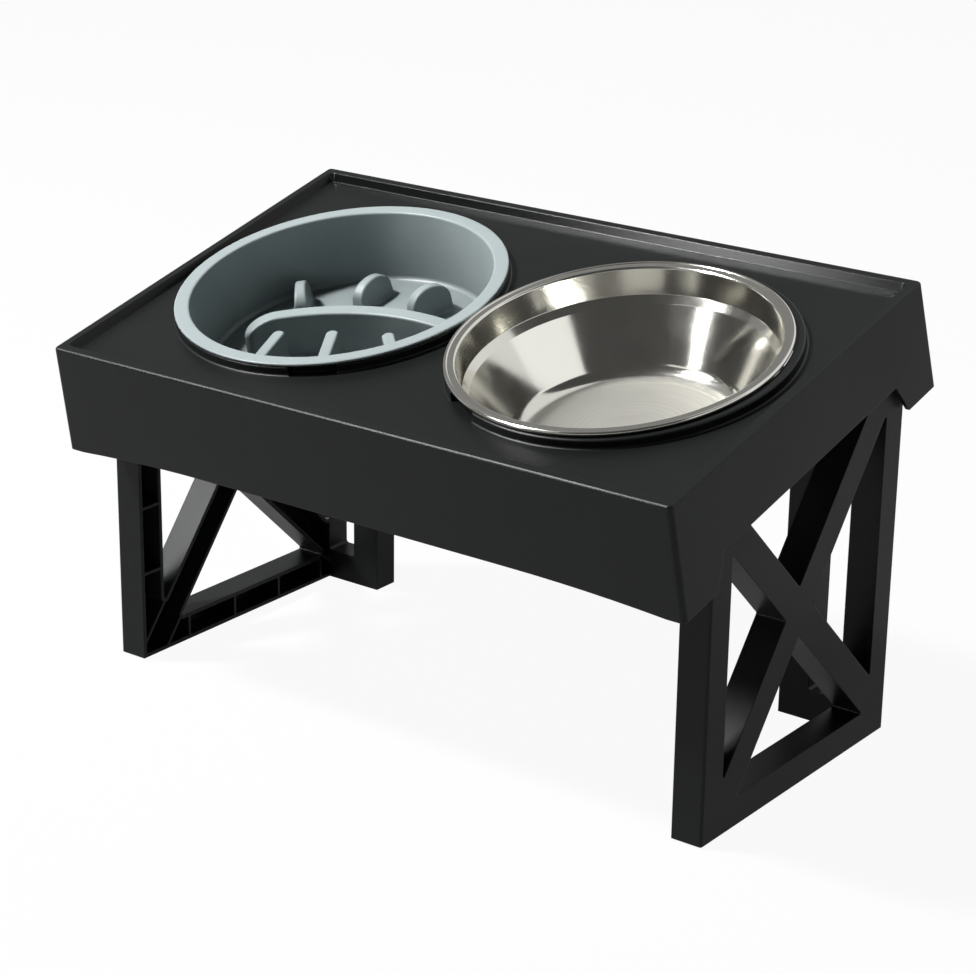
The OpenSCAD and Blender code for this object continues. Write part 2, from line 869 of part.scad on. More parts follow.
// Outer face of the steel bowl from under its flange to the middle of its floor
steel_floor = steel_rim_top - steel_depth;
steel_under = steel_floor - steel_wall;
step_top = steel_rim_top - step_depth + step_height / 2;
step_foot = step_top - step_height;
step_r = steel_body_r - upper_slope;
below_step_r = step_r - step_run;
steel_lean = atan2(lower_slope, step_foot - steel_under);
steel_corner_r = below_step_r - lower_slope;
steel_corner = [
    steel_corner_r - steel_floor_round * tan((90 - steel_lean) / 2),
    steel_under + steel_floor_round
];
flange_under = steel_rim_top - bead_rise - steel_wall;
steel_face = concat(
    [
        [steel_r - bead_radius, flange_under],
        [steel_body_r + steel_wall, flange_under],
        [steel_body_r, flange_under - steel_wall],
        [step_r, step_top],
        [below_step_r, step_foot]
    ],
    arc(steel_corner, steel_floor_round, -steel_lean, -90, arc_steps + 2),
    [[0, steel_under]]
);

module steel_bowl() {
    color("#d9d8d2")
        bowl_frame(1)
            translate(steel_shift) {
                rotate_extrude()
                    intersection() {
                        polygon(thickened(steel_face, -steel_wall));
                        translate([0, steel_under])
                            square([steel_r, steel_rim_top - steel_under]);
                    }
                rotate_extrude()
                    translate([steel_r - bead_radius, steel_rim_top - bead_radius])
                        circle(bead_radius, $fn = 32);
            }
}

tray();
left_leg();
right_leg();
slow_feeder_bowl();
steel_bowl();
left_front_foot_pad();
left_rear_foot_pad();
left_wing_foot_pad();
right_front_foot_pad();
right_rear_foot_pad();
right_wing_foot_pad();
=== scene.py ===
# Looks of a raised dog feeder stand: satin black tray and legs, a pale slow feeder bowl, a steel bowl.
# Metres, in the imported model's frame. A bowl's own profile is written in millimetres, with X to the
# right, Y up the tray's slope, and Z along the bowl's axis from the top of its rim.
import json
import math

import bpy
import numpy as np
from mathutils import Matrix, Vector


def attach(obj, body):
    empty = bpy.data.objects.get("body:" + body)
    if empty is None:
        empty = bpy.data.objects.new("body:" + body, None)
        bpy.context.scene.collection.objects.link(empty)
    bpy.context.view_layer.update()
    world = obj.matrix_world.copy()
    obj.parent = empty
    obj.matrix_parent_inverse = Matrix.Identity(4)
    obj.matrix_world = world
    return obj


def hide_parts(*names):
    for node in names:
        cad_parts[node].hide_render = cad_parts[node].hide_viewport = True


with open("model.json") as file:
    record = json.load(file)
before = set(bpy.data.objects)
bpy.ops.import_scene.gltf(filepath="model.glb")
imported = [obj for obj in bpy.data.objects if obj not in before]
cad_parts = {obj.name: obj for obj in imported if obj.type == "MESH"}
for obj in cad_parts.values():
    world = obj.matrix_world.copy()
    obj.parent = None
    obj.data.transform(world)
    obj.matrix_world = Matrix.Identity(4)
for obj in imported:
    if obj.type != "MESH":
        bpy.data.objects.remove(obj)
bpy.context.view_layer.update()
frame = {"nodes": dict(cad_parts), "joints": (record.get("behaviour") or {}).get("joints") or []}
nodes = frame["nodes"]

MM = 0.001
TINY = 1e-6

# The photograph's width in pixels, and the camera that took it
IMAGE_WIDTH = 976
CAMERA_PLACE = Vector((0.8942, -1.2009, 0.6710))
CAMERA_YAW = math.radians(-36.615)
CAMERA_PITCH = math.radians(-19.78)
CAMERA_ROLL = math.radians(0.80)
FOCAL_PIXELS = 2716.5
SENSOR = 36.0
FAR_ENOUGH = 50

# The tray's axes: the bowls lift along its normal
LIFT = next(j for j in frame["joints"] if j["name"] == "feeder_bowl_lift")
RIGHT = Vector((1, 0, 0))
NORMAL = Vector(LIFT["axis"]).normalized()
SLOPE = NORMAL.cross(RIGHT)
TRAY_TURN = Matrix((RIGHT, SLOPE, NORMAL)).transposed()

# Black plastic: how far its roughness strays down and up. The recess's leaning back wall is polished.
SMOOTHER = 0.05
ROUGHER = 0.06
RECESS_LEAN = 0.5
POLISHED_WAY = (NORMAL * RECESS_LEAN - SLOPE).normalized()
POLISHED_WITHIN = 8
POLISHED_ROUGHNESS = 0.14

# Slow feeder bowl, in millimetres
FEEDER_WALL = 2.0
FEEDER_DEPTH = 44.0
FEEDER_OVERHANG = 7.1
FEEDER_SLOPE = 5.0
FEEDER_RIM_ROUND = 0.4
FEEDER_FLOOR_ROUND = 4.0
FEEDER_FILLET = 2.5
LEAST_BLEND = 1e-4
RIDGE_HEIGHT = 27.0
RIDGE_ROUND = 1.4
RIDGE_DRAFT = 0.03
SPINE_THICK = 10.0
SPINE_RADIUS = 128.0
SPINE_MIDDLE = (50.0, 7.0 - SPINE_RADIUS)
SPINE_END = math.radians(138)
SPINE_END_RUN = 21.0
SPINE_END_DROP = 9.0
RIB_THICK = 7.5
RIB_REACH = 120.0
RIBS = (((-17.4, -42.6), -74), ((13.3, -29.7), -61), ((46.9, -18.9), -45))
FIN_THICK = 11.0
FIN_TOP_THICK = 6.6
FIN_LENGTH = 28.0
FIN_CREST = 0.5 * FIN_LENGTH
FIN_FRONT_SHARE = 0.57
FIN_BACK_SHARE = 0.55
FIN_ROUND = 1.5
FINS = (((-50.5, 14.5), 127, 18.0), ((-26.0, 38.5), 88, 16.0), ((16.0, 38.0), 72, 19.5))

# The feeder's mesh: grid step and reach of a slope, in millimetres, and rounds of settling
FEEDER_STEP = 0.9
SLOPE_REACH = 0.02
SETTLE_ROUNDS = 3
LEAST_STEEPNESS = 0.05

# Painted shade on the feeder: its colour is darkened in its hollows, where shade falls; share lost in the
# deepest, and reach in metres
PAINTED_SHADE_LOSS = 0.9
PAINTED_SHADE_REACH = 0.05

# Steel bowl, in millimetres
STEEL_WALL = 0.8
BEAD_RADIUS = 1.4
BEAD_RISE = 0.5
FLANGE_WIDTH = 4.8
FLANGE_ROUND = 1.0
STEEL_DEPTH = 58.0
STEP_DEPTH = 20.0
STEP_HEIGHT = 4.5
STEP_RUN = 3.6
STEP_ROUND = 1.6
UPPER_SLOPE = 1.6
LOWER_SLOPE = 21.0
STEEL_FLOOR_ROUND = 14.0
STEEL_FLOOR_R = 60.0

# The steel bowl's mesh: pieces round it and round its bead, and degrees in a piece of an arc
STEEL_SEGMENTS = 192
BEAD_STEPS = 40
ARC_STEP = 5
LEAST_STEPS = 4

# The steel floor has scratches and is duller than the wall, which starts between two radii in metres
FLOOR_LOSS = 0.42
DULL_INSIDE = STEEL_FLOOR_R * MM - 0.004
DULL_ENDS = STEEL_FLOOR_R * MM + 0.003
SCRATCH_TURN = -0.7
SCRATCH_STRETCH = (26, 420, 1)
SCRATCH_ROUGHNESS = 0.75

# Studio, in metres and levels: the floor's paleness, what it sends back, and how it shows to the
# camera and in reflections, then the sky's light and how bright it shows
STAND_MIDDLE = Vector((0, 0, 0.2))
FLOOR_RADIUS = 9
FLOOR_SIDES = 96
FLOOR_PALE = 0.9
FLOOR_BOUNCE = 0.62
FLOOR_WHITE = 0.94
FLOOR_GLEAM = 0.64
GLEAM_SHARE = 0.55
AMBIENT = 0.015
BACKDROP = 1.0


def bowl_place(node):
    """A bowl's own axes, with the origin on its axis at its rim's top, and its radius in millimetres."""
    points = np.array([v.co for v in nodes[node].data.vertices]) @ np.array(TRAY_TURN)
    low = points.min(0)
    high = points.max(0)
    origin = Vector(((low[0] + high[0]) / 2, (low[1] + high[1]) / 2, high[2]))
    place = Matrix.Translation(TRAY_TURN @ origin) @ TRAY_TURN.to_4x4()
    return place, (high[0] - low[0]) / 2 / MM


def add_mesh(name, points, faces, place, normals=None):
    """A smooth mesh from points in millimetres, placed by a matrix."""
    mesh = bpy.data.meshes.new(name)
    mesh.from_pydata((np.asarray(points) * MM).tolist(), [], faces)
    mesh.polygons.foreach_set("use_smooth", [True] * len(mesh.polygons))
    if normals is not None:
        mesh.normals_split_custom_set_from_vertices(normals)
    mesh.update()
    piece = bpy.data.objects.new(name, mesh)
    piece.matrix_world = place
    bpy.context.scene.collection.objects.link(piece)
    return piece


def rounded_path(corners):
    """Points along an open path in (radius, height), with each (r, z, round) corner rounded by an arc."""
    ends = [np.array(c[:2], float) for c in corners]
    path = [ends[0]]
    for before, here, after, corner in zip(ends, ends[1:], ends[2:], corners[1:]):
        back = (before - here) / np.linalg.norm(before - here)
        onward = (after - here) / np.linalg.norm(after - here)
        half = math.acos(back @ onward) / 2
        middle = here + (back + onward) / np.linalg.norm(back + onward) * corner[2] / math.sin(half)
        start = here + back * corner[2] / math.tan(half) - middle
        turn = math.copysign(math.pi - 2 * half, onward[0] * back[1] - onward[1] * back[0])
        steps = max(LEAST_STEPS, round(math.degrees(abs(turn)) / ARC_STEP))
        for i in range(steps + 1):
            a = turn * i / steps
            path.append(middle + (start[0] * math.cos(a) - start[1] * math.sin(a),
                                  start[0] * math.sin(a) + start[1] * math.cos(a)))
    path.append(ends[-1])
    return np.array(path)


def set_aside(path, distance):
    """A path moved sideways, to the right of its direction where the distance is positive."""
    ahead = np.gradient(path, axis=0)
    ahead /= np.linalg.norm(ahead, axis=1)[:, None]
    return path + distance * np.stack([ahead[:, 1], -ahead[:, 0]], 1)


def spun(profile, segments):
    """Points and faces of a profile in (radius, height) spun about the axis, where it starts and ends."""
    points = [(0, 0, profile[0][1]), (0, 0, profile[-1][1])]
    rings = profile[1:-1]
    for r, z in rings:
        for i in range(segments):
            a = 2 * math.pi * i / segments
            points.append((r * math.cos(a), r * math.sin(a), z))
    faces = []
    last = 2 + (len(rings) - 1) * segments
    for i in range(segments):
        j = (i + 1) % segments
        faces.append((0, 2 + i, 2 + j))
        faces.append((1, last + j, last + i))
        for k in range(len(rings) - 1):
            a = 2 + k * segments
            b = a + segments
            faces.append((a + i, b + i, b + j, a + j))
    return points, faces


def steel_profile(radius):
    """Half section of the steel bowl: up its inside, round the rolled edge and down its outside."""
    bead_r = radius - BEAD_RADIUS
    body_r = bead_r - FLANGE_WIDTH
    flange_top = -BEAD_RISE
    flange_under = flange_top - STEEL_WALL
    under = -STEEL_DEPTH - STEEL_WALL
    step_top = STEP_HEIGHT / 2 - STEP_DEPTH
    step_r = body_r - UPPER_SLOPE
    below_r = step_r - STEP_RUN
    top_meets = math.asin((flange_top + BEAD_RADIUS) / BEAD_RADIUS)
    under_meets = math.asin((flange_under + BEAD_RADIUS) / BEAD_RADIUS)
    outside = rounded_path([
        (bead_r - BEAD_RADIUS * math.cos(under_meets), flange_under, 0),
        (body_r, flange_under, FLANGE_ROUND),
        (step_r, step_top, STEP_ROUND),
        (below_r, step_top - STEP_HEIGHT, STEP_ROUND),
        (below_r - LOWER_SLOPE, under, STEEL_FLOOR_ROUND),
        (0, under, 0),
    ])
    inside = set_aside(outside, STEEL_WALL)[::-1]
    sweep = np.linspace(math.pi - top_meets, -math.pi - under_meets, BEAD_STEPS)[:-1]
    bead = np.stack([bead_r + BEAD_RADIUS * np.cos(sweep), BEAD_RADIUS * (np.sin(sweep) - 1)], 1)
    return np.concatenate([inside, bead, outside])


def line_distance(r, z, a, b):
    """Distance from points to the stretch from a to b."""
    along = (b[0] - a[0], b[1] - a[1])
    share = ((r - a[0]) * along[0] + (z - a[1]) * along[1]) / (along[0] ** 2 + along[1] ** 2)
    share = np.clip(share, 0, 1)
    return np.hypot(r - a[0] - share * along[0], z - a[1] - share * along[1])


def oval_distance(across, up, half_width, half_height):
    """Distance to an oval's outline, negative inside it."""
    reach = np.hypot(across / half_width, up / half_height)
    steep = np.hypot(across / half_width ** 2, up / half_height ** 2)
    near_middle = steep < TINY
    return np.where(near_middle, -half_height, reach * (reach - 1) / np.where(near_middle, 1, steep))


def rounded_both(a, b, edge):
    """Distance field of what lies inside both a and b, with their shared edge rounded."""
    a = a + edge
    b = b + edge
    return np.minimum(np.maximum(a, b), 0) + np.hypot(np.maximum(a, 0), np.maximum(b, 0)) - edge


class FeederShape:
    """The feeder as a distance field in millimetres, negative inside its plastic."""

    def __init__(self, radius):
        half = FEEDER_WALL / 2
        self.half = half
        self.rim_end = (radius - half, -half)
        outer_r = radius - FEEDER_OVERHANG
        lean = FEEDER_SLOPE / (FEEDER_DEPTH + FEEDER_WALL)
        self.lean = lean
        self.floor = -FEEDER_DEPTH - half
        self.top_r = outer_r - half * math.hypot(1, lean)
        self.rim_corner = (self.top_r - lean * half, -half)
        self.foot_corner = (self.top_r + lean * self.floor, self.floor)
        self.turn = math.pi / 2 - math.atan(lean)
        rim_cut = FEEDER_RIM_ROUND * math.tan(self.turn / 2)
        foot_cut = FEEDER_FLOOR_ROUND * math.tan(self.turn / 2)
        size = math.hypot(1, lean)
        down = (-lean / size, -1 / size)
        self.rim_arc = (self.rim_corner[0] + rim_cut, -half - FEEDER_RIM_ROUND)
        self.foot_arc = (self.foot_corner[0] - foot_cut, self.floor + FEEDER_FLOOR_ROUND)
        self.wall_top = (self.rim_corner[0] + down[0] * rim_cut,
                         self.rim_corner[1] + down[1] * rim_cut)
        self.wall_foot = (self.foot_corner[0] - down[0] * foot_cut,
                          self.foot_corner[1] - down[1] * foot_cut)

    def middle_distance(self, r, z):
        """Distance to the surface midway through the bowl's wall, negative on the food's side."""
        rim = line_distance(r, z, self.rim_end, (self.rim_arc[0], self.rim_end[1]))
        wall = line_distance(r, z, self.wall_top, self.wall_foot)
        floor = line_distance(r, z, (self.foot_arc[0], self.floor), (0, self.floor))
        away = np.minimum(np.minimum(rim, wall), floor)
        across = r - self.rim_arc[0]
        over = z - self.rim_arc[1]
        in_corner = (across < 0) & (over > self.lean * -across)
        away = np.where(in_corner, np.minimum(away, abs(np.hypot(across, over) - FEEDER_RIM_ROUND)), away)
        across = r - self.foot_arc[0]
        over = z - self.foot_arc[1]
        in_corner = (across > 0) & (over < -self.lean * across)
        bend = np.hypot(across, over) - FEEDER_FLOOR_ROUND
        away = np.where(in_corner, np.minimum(away, abs(bend)), away)
        food = (z > self.floor) & (r < self.top_r + self.lean * z) & ~(in_corner & (bend > 0))
        return np.where(food, -away, away)

    def ridges(self, x, y, z):
        """Spine, front ribs and fins, without the bowl."""
        above = z + FEEDER_DEPTH - RIDGE_HEIGHT
        across = x - SPINE_MIDDLE[0]
        along = y - SPINE_MIDDLE[1]
        tip = (SPINE_RADIUS * math.cos(SPINE_END), SPINE_RADIUS * math.sin(SPINE_END))
        beside = abs(np.hypot(across, along) - SPINE_RADIUS)
        beyond = np.hypot(across - tip[0], along - tip[1])
        plan = np.where(np.arctan2(along, across) < SPINE_END, beside, beyond) - SPINE_THICK / 2
        past = (along - tip[1]) * math.cos(SPINE_END) - (across - tip[0]) * math.sin(SPINE_END)
        past = past + SPINE_END_RUN - SPINE_THICK / 2
        end_round = (SPINE_END_RUN ** 2 + SPINE_END_DROP ** 2) / (2 * SPINE_END_DROP)
        over_spine = np.where(past > 0, np.hypot(past, above + end_round) - end_round, above)
        result = rounded_both(plan + RIDGE_DRAFT * above, over_spine, RIDGE_ROUND)
        for (rib_x, rib_y), direction in RIBS:
            a = math.radians(direction)
            far = (rib_x + RIB_REACH * math.cos(a), rib_y + RIB_REACH * math.sin(a))
            plan = line_distance(x, y, (rib_x, rib_y), far) - RIB_THICK / 2
            result = np.minimum(result, rounded_both(plan + RIDGE_DRAFT * above, above, RIDGE_ROUND))
        for (fin_x, fin_y), direction, height in FINS:
            a = math.radians(direction)
            along = (x - fin_x) * math.cos(a) + (y - fin_y) * math.sin(a) - FIN_CREST
            aside = (y - fin_y) * math.cos(a) - (x - fin_x) * math.sin(a)
            half_width = np.where(along < 0, FIN_CREST, FIN_LENGTH - FIN_CREST)
            half_height = height * np.where(along < 0, FIN_FRONT_SHARE, FIN_BACK_SHARE)
            over = z + FEEDER_DEPTH - height + half_height
            side_view = np.where(over > 0, oval_distance(along, over, half_width, half_height),
                                 abs(along) - half_width + RIDGE_DRAFT * over)
            lean = (FIN_THICK - FIN_TOP_THICK) / 2 / height
            flank = (abs(aside) - FIN_THICK / 2 + lean * (z + FEEDER_DEPTH)) / math.hypot(1, lean)
            result = np.minimum(result, rounded_both(side_view, flank, FIN_ROUND))
        return result

    def __call__(self, x, y, z):
        middle = self.middle_distance(np.hypot(x, y), z)
        shell = abs(middle) - self.half
        ridges = np.maximum(self.ridges(x, y, z), middle)
        blend = FEEDER_FILLET * np.clip((self.half / 2 - middle) / self.half, LEAST_BLEND, 1)
        near = np.maximum(blend - abs(shell - ridges), 0) / blend
        return np.minimum(shell, ridges) - near * near * blend / 4


def slopes(shape, points):
    """Gradient of a distance field at points, from a small step to either side."""
    result = np.empty_like(points)
    for axis in range(3):
        shift = np.zeros(3)
        shift[axis] = SLOPE_REACH
        change = shape(*(points + shift).T) - shape(*(points - shift).T)
        result[:, axis] = change / (2 * SLOPE_REACH)
    return result


def surface_net(shape, low, high, step):
    """Closed quads on the zero set of a distance field: one point in each grid cell that it crosses."""
    axes = [np.arange(a, b + step, step) for a, b in zip(low, high)]
    field = shape(*np.meshgrid(*axes, indexing="ij"))
    corners = [(i, j, k) for i in (0, 1) for j in (0, 1) for k in (0, 1)]
    sizes = [n - 1 for n in field.shape]

    def shifted(values, corner):
        return values[tuple(slice(c, c + n) for c, n in zip(corner, sizes))]

    inside = field < 0
    count = sum(shifted(inside, c).astype(np.int8) for c in corners)
    active = (count > 0) & (count < len(corners))
    cells = np.argwhere(active)
    number = np.full(active.shape, -1)
    number[active] = np.arange(len(cells))
    total = np.zeros((len(cells), 3))
    crossings = np.zeros(len(cells))
    for a in corners:
        for axis in range(3):
            if a[axis]:
                continue
            b = tuple(1 if i == axis else c for i, c in enumerate(a))
            one = shifted(field, a)[active]
            two = shifted(field, b)[active]
            crossed = (one < 0) != (two < 0)
            share = np.where(crossed, one / np.where(crossed, one - two, 1), 0)
            spot = np.tile(np.array(a, float), (len(cells), 1))
            spot[:, axis] = share
            total += spot * crossed[:, None]
            crossings += crossed
    points = (cells + total / crossings[:, None]) * step + np.array([a[0] for a in axes])
    faces = []
    for axis in range(3):
        u = (axis + 1) % 3
        v = (axis + 2) % 3
        one = np.moveaxis(inside, (axis, u, v), (0, 1, 2))
        grid = np.moveaxis(number, (axis, u, v), (0, 1, 2))
        changed = one[:-1, 1:-1, 1:-1] != one[1:, 1:-1, 1:-1]
        i, j, k = np.nonzero(changed)
        quad = np.stack([grid[i, j, k], grid[i, j + 1, k], grid[i, j + 1, k + 1], grid[i, j, k + 1]], 1)
        outward = one[i, j + 1, k + 1]
        faces.append(np.where(outward[:, None], quad, quad[:, ::-1]))
    return points, np.concatenate(faces)


def settle(shape, points, limit):
    """Points moved onto the zero set of a distance field, and the field's directions there."""
    start = points.copy()
    for _ in range(SETTLE_ROUNDS):
        slope = slopes(shape, points)
        steep = np.maximum((slope * slope).sum(1), LEAST_STEEPNESS)
        points = points - slope * (shape(*points.T) / steep)[:, None]
        points = start + np.clip(points - start, -limit, limit)
    slope = slopes(shape, points)
    return points, slope / np.maximum(np.linalg.norm(slope, axis=1), TINY)[:, None]


class Shader:
    """Short ways to add nodes to a new material."""

    def __init__(self, name):
        self.material = bpy.data.materials.new(name)
        self.material.use_nodes = True
        self.tree = self.material.node_tree
        self.surface = self.tree.nodes["Principled BSDF"]

    def add(self, kind, settings=None, **inputs):
        node = self.tree.nodes.new(kind)
        for key, value in (settings or {}).items():
            setattr(node, key, value)
        for key, value in inputs.items():
            self.put(node, key.replace("_", " "), value)
        return node

    def put(self, node, key, value):
        socket = node.inputs[int(key[1:])] if key[1:].isdigit() else node.inputs[key]
        if isinstance(value, bpy.types.NodeSocket):
            self.tree.links.new(value, socket)
        else:
            socket.default_value = value

    def shade(self, **inputs):
        for key, value in inputs.items():
            self.put(self.surface, key.replace("_", " "), value)

    def end_with(self, result):
        """The material's result, in place of the usual surface."""
        self.tree.nodes.remove(self.surface)
        self.tree.links.new(result, self.tree.nodes["Material Output"].inputs["Surface"])

    def place(self):
        return self.add("ShaderNodeTexCoord").outputs["Object"]

    def noise(self, vector, scale, detail=3.0, roughness=0.5):
        inputs = {"Scale": scale, "Detail": detail, "Roughness": roughness}
        return self.add("ShaderNodeTexNoise", Vector=vector, **inputs).outputs["Fac"]

    def ramp(self, value, low, high):
        """A number from 0 to 1 turned into a colour between two."""
        node = self.add("ShaderNodeValToRGB", Fac=value)
        node.color_ramp.elements[0].color = (*low, 1)
        node.color_ramp.elements[1].color = (*high, 1)
        return node.outputs["Color"]

    def spread(self, value, low, high, start=0.3, end=0.7):
        """A number from start to end turned into one between low and high."""
        node = self.add("ShaderNodeMapRange", _0=value, _1=start, _2=end, _3=low, _4=high)
        return node.outputs["Result"]

    def blend(self, low, high, share):
        """A number between two, the second where the share is 1."""
        node = self.add("ShaderNodeMix", {"data_type": "FLOAT"}, _0=share, _2=low, _3=high)
        return node.outputs[0]

    def dulled(self, color, share, loss):
        """A colour that loses some of its brightness where the share is 1."""
        level = self.spread(share, 1, 1 - loss, 0, 1)
        node = self.add("ShaderNodeVectorMath", {"operation": "SCALE"}, _0=color, Scale=level)
        return node.outputs["Vector"]

    def with_painted_shade(self, color, depth, reach):
        """A colour with painted shade: made darker in hollows, where shade falls; depth is the share lost
        in the deepest ones.
        """
        settings = {"samples": 8, "only_local": True}
        hollow = self.add("ShaderNodeAmbientOcclusion", settings, Distance=reach)
        return self.dulled(color, self.spread(hollow.outputs["AO"], 1, 0, 0, 1), depth)

    def facing(self, way, limit):
        """1 on faces that look one way, to within a limit in degrees."""
        face = self.add("ShaderNodeNewGeometry").outputs["True Normal"]
        likeness = self.add("ShaderNodeVectorMath", {"operation": "DOT_PRODUCT"}, _0=face, _1=way)
        edge = math.cos(math.radians(limit))
        return self.spread(likeness.outputs["Value"], 0, 1, edge, (1 + edge) / 2)

    def bump(self, height, strength, distance, normal=None):
        node = self.add("ShaderNodeBump", Height=height, Strength=strength, Distance=distance)
        if normal is not None:
            self.put(node, "Normal", normal)
        return node.outputs["Normal"]


def satin_plastic(name, dark, pale, rough, shine, edge):
    """Moulded black plastic: fine spark-eroded grain, slight mottling and softly rounded edges."""
    s = Shader(name)
    where = s.place()
    mottle = s.noise(where, scale=38, detail=4, roughness=0.6)
    broad = s.noise(where, scale=9, detail=3)
    grain = s.noise(where, scale=1500, detail=2, roughness=0.6)
    rounded = s.add("ShaderNodeBevel", {"samples": 6}, Radius=edge)
    roughness = s.spread(broad, low=rough - SMOOTHER, high=rough + ROUGHER)
    polished = s.facing(POLISHED_WAY, POLISHED_WITHIN)
    s.shade(
        Base_Color=s.ramp(mottle, dark, pale),
        Roughness=s.blend(roughness, POLISHED_ROUGHNESS, polished),
        Specular_IOR_Level=shine,
        Normal=s.bump(grain, strength=0.12, distance=0.0002, normal=rounded.outputs["Normal"]),
    )
    return s.material


def feeder_plastic():
    """Pale grey-blue moulded plastic, smooth and a little glossy, with painted shade darkening its
    hollows.
    """
    s = Shader("feeder_plastic")
    where = s.place()
    mottle = s.noise(where, scale=60, detail=4, roughness=0.6)
    broad = s.noise(where, scale=16, detail=3)
    grain = s.noise(where, scale=900, detail=2)
    tone = s.ramp(mottle, low=(0.460, 0.529, 0.534), high=(0.521, 0.591, 0.598))
    # Painted shade: the base colour is darkened in the bowl's hollows by ambient occlusion.
    s.shade(
        Base_Color=s.with_painted_shade(tone, PAINTED_SHADE_LOSS, PAINTED_SHADE_REACH),
        Roughness=s.spread(broad, low=0.30, high=0.40),
        Specular_IOR_Level=0.25,
        Normal=s.bump(grain, strength=0.05, distance=0.0002),
    )
    return s.material


def bowl_steel():
    """Polished steel with fine turning marks, and a duller floor with rings and scratches."""
    s = Shader("bowl_steel")
    where = s.place()
    parts = s.add("ShaderNodeSeparateXYZ", Vector=where)
    flat = s.add("ShaderNodeCombineXYZ", X=parts.outputs["X"], Y=parts.outputs["Y"])
    length = s.add("ShaderNodeVectorMath", {"operation": "LENGTH"}, _0=flat.outputs["Vector"])
    radius = length.outputs["Value"]
    section = s.add("ShaderNodeCombineXYZ", X=radius, Y=parts.outputs["Z"]).outputs["Vector"]
    marks = s.noise(section, scale=1400, detail=3, roughness=0.6)
    rings = s.noise(section, scale=260, detail=3, roughness=0.7)
    scuffs = s.noise(where, scale=45, detail=5, roughness=0.65)
    waves = s.noise(where, scale=16, detail=2)
    on_floor = s.spread(radius, 1, 0, start=DULL_INSIDE, end=DULL_ENDS)
    settings = {"Rotation": (0, 0, SCRATCH_TURN), "Scale": SCRATCH_STRETCH}
    stretched = s.add("ShaderNodeMapping", Vector=where, **settings).outputs["Vector"]
    streaks = s.noise(stretched, scale=1, detail=2)
    scratches = s.spread(streaks, 0, on_floor, start=0.70, end=0.78)
    wavy = s.bump(waves, strength=0.22, distance=0.0010)
    wall_roughness = s.spread(scuffs, low=0.10, high=0.17)
    floor_roughness = s.spread(rings, low=0.60, high=0.78)
    roughness = s.blend(wall_roughness, floor_roughness, on_floor)
    tone = s.ramp(scuffs, low=(0.60, 0.59, 0.545), high=(0.67, 0.66, 0.61))
    s.shade(
        Base_Color=s.dulled(tone, on_floor, FLOOR_LOSS),
        Metallic=1.0,
        Roughness=s.blend(roughness, SCRATCH_ROUGHNESS, scratches),
        Normal=s.bump(marks, strength=0.05, distance=0.0001, normal=wavy),
    )
    return s.material


def foot_rubber():
    """Matt black rubber with a coarse grain."""
    s = Shader("foot_rubber")
    where = s.place()
    mottle = s.noise(where, scale=120, detail=3)
    grain = s.noise(where, scale=800, detail=3, roughness=0.6)
    s.shade(
        Base_Color=s.ramp(mottle, low=(0.010, 0.010, 0.011), high=(0.018, 0.018, 0.019)),
        Roughness=s.spread(grain, low=0.72, high=0.88),
        Specular_IOR_Level=0.3,
        Normal=s.bump(grain, strength=0.3, distance=0.0003),
    )
    return s.material


def ray_is(tree, *names):
    """1 for a ray of one of the named kinds."""
    path = tree.nodes.new("ShaderNodeLightPath")
    total = path.outputs["Is %s Ray" % names[0]]
    for name in names[1:]:
        add = tree.nodes.new("ShaderNodeMath")
        add.operation = "MAXIMUM"
        tree.links.new(total, add.inputs[0])
        tree.links.new(path.outputs["Is %s Ray" % name], add.inputs[1])
        total = add.outputs[0]
    return total


def set_world():
    """White where it is seen, and a plain soft light on everything else."""
    world = bpy.data.worlds.new("studio")
    bpy.context.scene.world = world
    world.use_nodes = True
    tree = world.node_tree
    level = tree.nodes.new("ShaderNodeMapRange")
    level.inputs["To Min"].default_value = AMBIENT
    level.inputs["To Max"].default_value = BACKDROP
    tree.links.new(ray_is(tree, "Camera", "Glossy", "Transmission"), level.inputs["Value"])
    background = tree.nodes["Background"]
    background.inputs["Color"].default_value = (1, 1, 1, 1)
    tree.links.new(level.outputs["Result"], background.inputs["Strength"])


def set_floor():
    """Pale floor that keeps the stand's shadow."""
    bpy.ops.mesh.primitive_circle_add(vertices=FLOOR_SIDES, radius=FLOOR_RADIUS, fill_type="NGON")
    floor = bpy.context.object
    floor.name = "floor"
    s = Shader("floor")
    seen = ray_is(s.tree, "Camera")
    mirrored = ray_is(s.tree, "Glossy", "Transmission")
    lit = s.add("ShaderNodeBsdfDiffuse", Color=s.spread(seen, FLOOR_BOUNCE, FLOOR_PALE, 0, 1))
    glow = s.add("ShaderNodeEmission", Strength=s.spread(mirrored, 1, FLOOR_GLEAM, 0, 1))
    gleam = s.spread(mirrored, 0, GLEAM_SHARE, 0, 1)
    share = s.add("ShaderNodeMath", {"operation": "MULTIPLY_ADD"}, _0=seen, _1=FLOOR_WHITE, _2=gleam)
    mix = s.add("ShaderNodeMixShader", _0=share.outputs[0], _1=lit.outputs[0], _2=glow.outputs[0])
    s.end_with(mix.outputs[0])
    floor.data.materials.append(s.material)


def aimed(azimuth, elevation, distance):
    """A place round the stand that faces it. Azimuth is from the back, clockwise from above."""
    az = math.radians(azimuth)
    el = math.radians(elevation)
    away = Vector((math.sin(az) * math.cos(el), math.cos(az) * math.cos(el), math.sin(el)))
    turn = away.to_track_quat("Z", "Y").to_matrix().to_4x4()
    return Matrix.Translation(STAND_MIDDLE + away * distance) @ turn


def add_lamp(name, azimuth, elevation, distance, width, height, level):
    """A rectangular soft lamp; level is the brightness of its face."""
    data = bpy.data.lights.new(name, "AREA")
    data.shape = "RECTANGLE"
    data.size = width
    data.size_y = height
    data.energy = level * math.pi * width * height
    lamp = bpy.data.objects.new(name, data)
    lamp.matrix_world = aimed(azimuth, elevation, distance)
    lamp.visible_camera = False
    bpy.context.scene.collection.objects.link(lamp)


